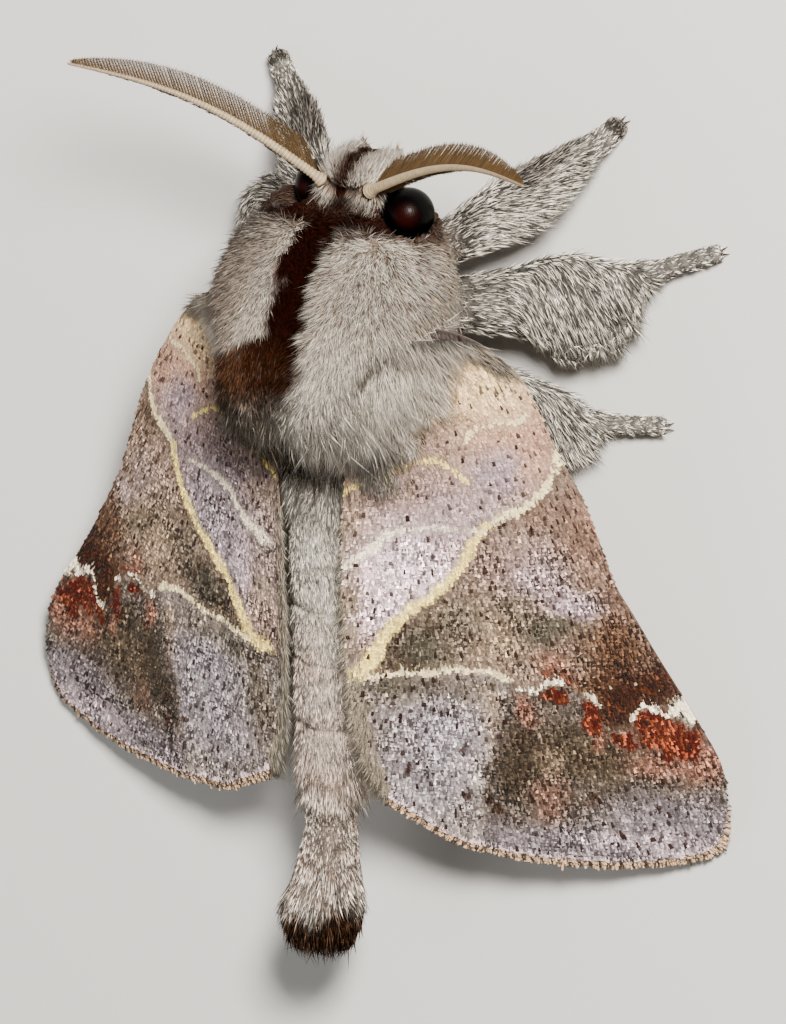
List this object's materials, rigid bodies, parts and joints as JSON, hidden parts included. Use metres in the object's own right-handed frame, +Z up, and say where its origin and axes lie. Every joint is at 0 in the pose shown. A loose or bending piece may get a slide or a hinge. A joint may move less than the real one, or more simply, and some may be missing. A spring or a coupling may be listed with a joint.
{
  "type": "moth",
  "caption": "Life-size still moth at rest: furry thorax, wings held in a low roof over the abdomen, feathered antennae, front legs stretched forward, raised tail tuft.",
  "frame": {"origin": "on the floor, under the middle of the whole moth's box", "axes": "-Y toward the head, +Y toward the tail tuft, -X toward the moth's right side, +Z up from the floor"},
  "size_m": [0.0182, 0.0214, 0.0083],
  "materials": {
    "coat": "soft grey fur",
    "dark_coat": "dark brown hair",
    "wing": "matt scales",
    "hindwing": "matt scales",
    "abdomen": "short silvery fur",
    "leg": "grey fur",
    "antenna": "cream stem with fine brown branches",
    "eye": "glossy black"
  },
  "bodies": {
    "root": {"abdomen_segment_1": "abdomen", "abdomen_segment_2": "abdomen", "abdomen_segment_3": "abdomen", "abdomen_segment_4": "abdomen", "abdomen_segment_5": "abdomen", "abdomen_segment_6": "abdomen", "abdomen_segment_7": "abdomen", "antenna_left": "antenna", "antenna_right": "antenna", "eye_left": "eye", "eye_right": "eye", "forewing_left": "wing", "forewing_right": "wing", "head": "coat", "hindwing_left": "hindwing", "hindwing_right": "hindwing", "leg_front_left_femur": "leg", "leg_front_left_tarsus": "leg", "leg_front_left_tibia": "leg", "leg_front_right_femur": "leg", "leg_front_right_tarsus": "leg", "leg_front_right_tibia": "leg", "leg_hind_left_femur": "leg", "leg_hind_left_tarsus": "leg", "leg_hind_left_tibia": "leg", "leg_hind_right_femur": "leg", "leg_hind_right_tarsus": "leg", "leg_hind_right_tibia": "leg", "leg_mid_left_femur": "leg", "leg_mid_left_tarsus": "leg", "leg_mid_left_tibia": "leg", "leg_mid_right_femur": "leg", "leg_mid_right_tarsus": "leg", "leg_mid_right_tibia": "leg", "palp_left": "coat", "palp_right": "coat", "tail_tuft": "dark_coat", "tegula_left": "coat", "tegula_right": "coat", "thorax": "coat"}
  },
  "joints": []
}
